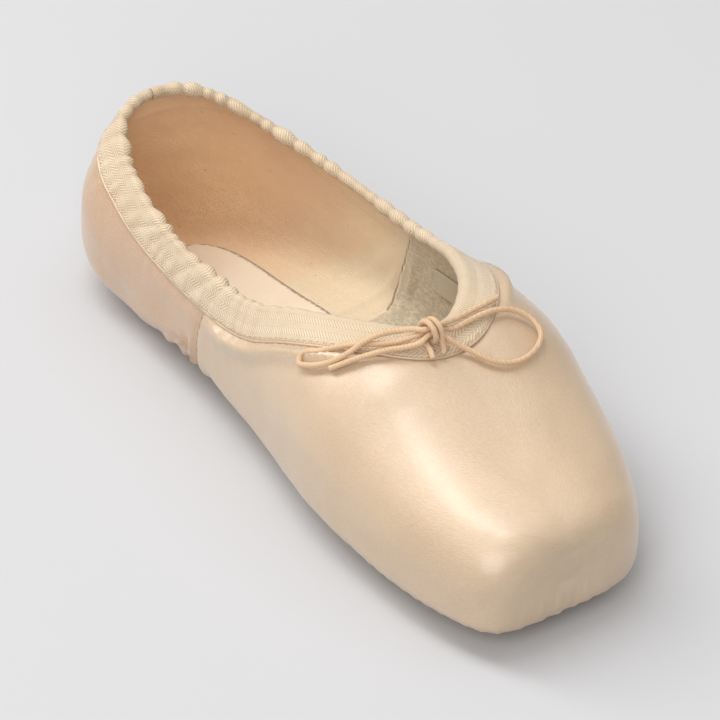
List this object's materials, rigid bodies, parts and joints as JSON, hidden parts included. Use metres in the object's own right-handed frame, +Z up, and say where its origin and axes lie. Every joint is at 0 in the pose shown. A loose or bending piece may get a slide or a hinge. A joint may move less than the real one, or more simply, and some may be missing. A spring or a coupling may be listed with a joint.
{
  "type": "pointe shoe",
  "caption": "Satin pointe shoe with a stiffened box and flat platform, tape-bound gathered collar, thin leather outsole, insole and a drawstring tied in a bow at the throat.",
  "frame": {"origin": "centre of the box round the shoe without its bow, on the floor", "axes": "+X from heel to toe, +Y to the wearer's left, +Z up"},
  "size_m": [0.2319, 0.0896, 0.0665],
  "materials": {
    "satin": "smooth peach satin with a soft sheen",
    "sole_leather": "matte buffed leather",
    "sock": "matte cream sock lining",
    "lining": "matte cotton twill lining",
    "tape": "herringbone twill tape",
    "drawstring": "round woven cord",
    "thread": "sewing thread"
  },
  "bodies": {
    "root": {"upper": "satin", "outsole": "sole_leather", "insole": "sock", "binding": "tape", "bow_knot": "drawstring", "bow_left": "drawstring", "bow_right": "drawstring"}
  },
  "joints": []
}
